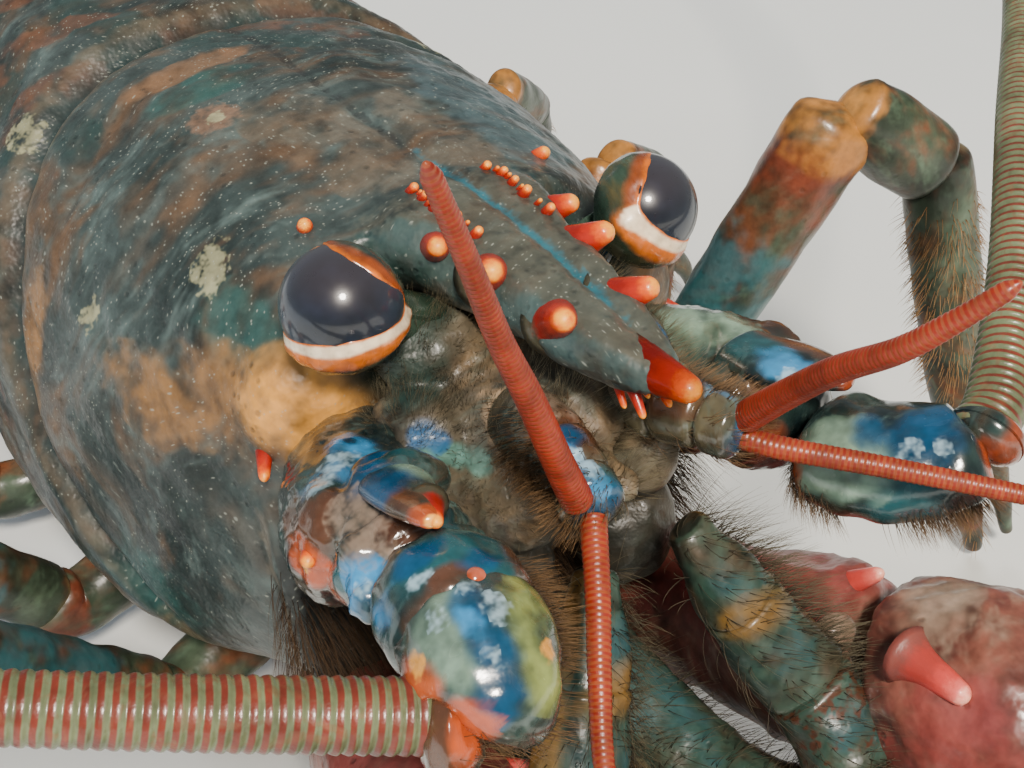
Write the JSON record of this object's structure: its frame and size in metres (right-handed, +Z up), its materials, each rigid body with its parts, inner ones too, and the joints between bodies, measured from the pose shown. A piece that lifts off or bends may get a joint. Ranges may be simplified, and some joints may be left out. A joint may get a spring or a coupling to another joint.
{
  "type": "american lobster",
  "caption": "Life-size still model of an American lobster standing on the floor: spiny carapace, stalked eyes, ringed feelers, great claws out in front, walking legs and spread tail fan.",
  "frame": {"origin": "middle of the bottom of the whole model's box, on the floor under the body", "axes": "+Z up, the head faces -Y, the animal's left is +X"},
  "size_m": [0.2778, 0.367, 0.0826],
  "materials": {
    "shell": "dark olive-brown shell with orange-brown mottling, satin",
    "belly": "orange-brown underside",
    "face": "tan-grey skin with fine bristles",
    "eye_stalk": "dark green-blue, orange rim",
    "cornea": "near-black, glossy",
    "feeler_base": "teal, blue and cream, glossy",
    "feeler_lash": "ringed red-orange and grey-green",
    "claw": "dark green-brown with orange wrist and spines",
    "leg": "teal-brown with orange joints",
    "tail": "dark olive-brown with orange edges"
  },
  "bodies": {
    "root": {"antenna_left_base": "feeler_base", "antenna_left_scale": "feeler_base", "antenna_left_whip_far": "feeler_lash", "antenna_left_whip_near": "feeler_lash", "antenna_left_wrist": "feeler_base", "antenna_right_base": "feeler_base", "antenna_right_scale": "feeler_base", "antenna_right_whip_far": "feeler_lash", "antenna_right_whip_near": "feeler_lash", "antenna_right_wrist": "feeler_base", "antennule_left_base": "feeler_base", "antennule_left_inner": "feeler_lash", "antennule_left_outer": "feeler_lash", "antennule_right_base": "feeler_base", "antennule_right_inner": "feeler_lash", "antennule_right_outer": "feeler_lash", "carapace": "shell", "claw_left_arm": "claw", "claw_left_finger": "claw", "claw_left_palm": "claw", "claw_left_wrist": "claw", "claw_right_arm": "claw", "claw_right_finger": "claw", "claw_right_palm": "claw", "claw_right_wrist": "claw", "eye_left": "cornea", "eye_right": "cornea", "eyestalk_left": "eye_stalk", "eyestalk_right": "eye_stalk", "face": "face", "leg_left_1_lower": "leg", "leg_left_1_upper": "leg", "leg_left_2_lower": "leg", "leg_left_2_upper": "leg", "leg_left_3_lower": "leg", "leg_left_3_upper": "leg", "leg_left_4_lower": "leg", "leg_left_4_upper": "leg", "leg_right_1_lower": "leg", "leg_right_1_upper": "leg", "leg_right_2_lower": "leg", "leg_right_2_upper": "leg", "leg_right_3_lower": "leg", "leg_right_3_upper": "leg", "leg_right_4_lower": "leg", "leg_right_4_upper": "leg", "maxilliped_left": "leg", "maxilliped_right": "leg", "sternum": "belly", "tail_fan_left": "tail", "tail_fan_right": "tail", "tail_segment_1": "tail", "tail_segment_2": "tail", "tail_segment_3": "tail", "tail_segment_4": "tail", "tail_segment_5": "tail", "tail_segment_6": "tail", "telson": "tail"}
  },
  "joints": []
}
